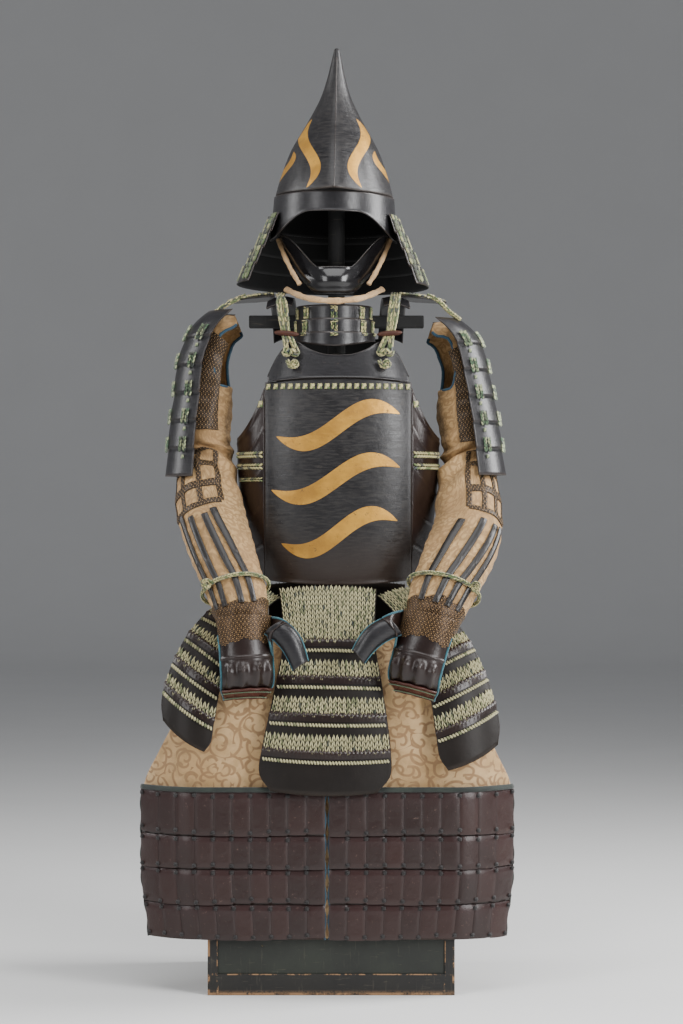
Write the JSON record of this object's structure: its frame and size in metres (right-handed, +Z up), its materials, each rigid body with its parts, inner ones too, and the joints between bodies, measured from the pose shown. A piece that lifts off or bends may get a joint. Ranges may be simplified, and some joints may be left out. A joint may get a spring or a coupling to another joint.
{
  "type": "samurai armour on a storage chest stand",
  "caption": "Suit of lacquered armour with pointed helmet, chin mask, plain cuirass, brocade sleeves and laced skirts, hollow on a plain post above a square wooden chest.",
  "frame": {"origin": "centre of the storage chest's flat underside, on the floor", "axes": "+Z up, -Y the way the armour faces, +X to the right as seen from the front"},
  "size_m": [0.598, 0.4658, 1.534],
  "materials": {
    "chest_green": "worn dark green lacquered wood",
    "chest_black": "worn black lacquered wood",
    "stand_black": "black painted wood",
    "black_lacquer": "black lacquered iron, satin to gloss",
    "gloss_lacquer": "polished black lacquered iron",
    "tan_leather": "soft tan leather",
    "russet_lacquer": "russet brown lacquered iron and leather",
    "cord": "cream and green braided silk",
    "toggle_wood": "oiled brown wood",
    "brocade": "tan silk brocade over hemp",
    "laced_lames": "black lacquered lames hung in cream and green silk braid"
  },
  "bodies": {
    "root": {"chest_body": "chest_green", "chest_frame": "chest_black", "chest_lid": "chest_black", "stand_post": "stand_black", "stand_shoulder_bar": "stand_black", "stand_head": "stand_black", "helmet_bowl": "black_lacquer", "helmet_brow_band": "black_lacquer", "neck_guard_1": "black_lacquer", "neck_guard_2": "black_lacquer", "neck_guard_3": "black_lacquer", "neck_guard_4": "black_lacquer", "mask_shell": "gloss_lacquer", "mask_lining_edge_left": "tan_leather", "mask_lining_edge_right": "tan_leather", "collar_pad": "tan_leather", "throat_lame_1": "black_lacquer", "throat_lame_2": "black_lacquer", "throat_lame_3": "black_lacquer", "cuirass_front": "black_lacquer", "cuirass_chest_plate": "black_lacquer", "cuirass_back": "black_lacquer", "cuirass_side_left": "russet_lacquer", "shoulder_strap_left": "black_lacquer", "chest_cord_left": "cord", "toggle_left": "toggle_wood", "cuirass_side_right": "russet_lacquer", "shoulder_strap_right": "black_lacquer", "chest_cord_right": "cord", "toggle_right": "toggle_wood", "shoulder_wing_left": "black_lacquer", "shoulder_wing_right": "black_lacquer", "sleeve_left": "brocade", "splint_left_rear": "black_lacquer", "splint_left_outer": "black_lacquer", "splint_left_middle": "black_lacquer", "splint_left_inner": "black_lacquer", "wrist_cord_left": "cord", "hand_guard_left": "russet_lacquer", "thumb_guard_left": "russet_lacquer", "sleeve_right": "brocade", "splint_right_rear": "black_lacquer", "splint_right_outer": "black_lacquer", "splint_right_middle": "black_lacquer", "splint_right_inner": "black_lacquer", "wrist_cord_right": "cord", "hand_guard_right": "russet_lacquer", "thumb_guard_right": "russet_lacquer", "shoulder_guard_left": "black_lacquer", "shoulder_guard_right": "black_lacquer", "tasset_front": "laced_lames", "tasset_front_left": "laced_lames", "tasset_front_right": "laced_lames", "tasset_side_left": "laced_lames", "tasset_side_right": "laced_lames", "tasset_back_left": "laced_lames", "tasset_back_right": "laced_lames", "apron_cloth": "brocade", "apron_plates_left": "russet_lacquer", "apron_plates_right": "russet_lacquer"}
  },
  "joints": []
}
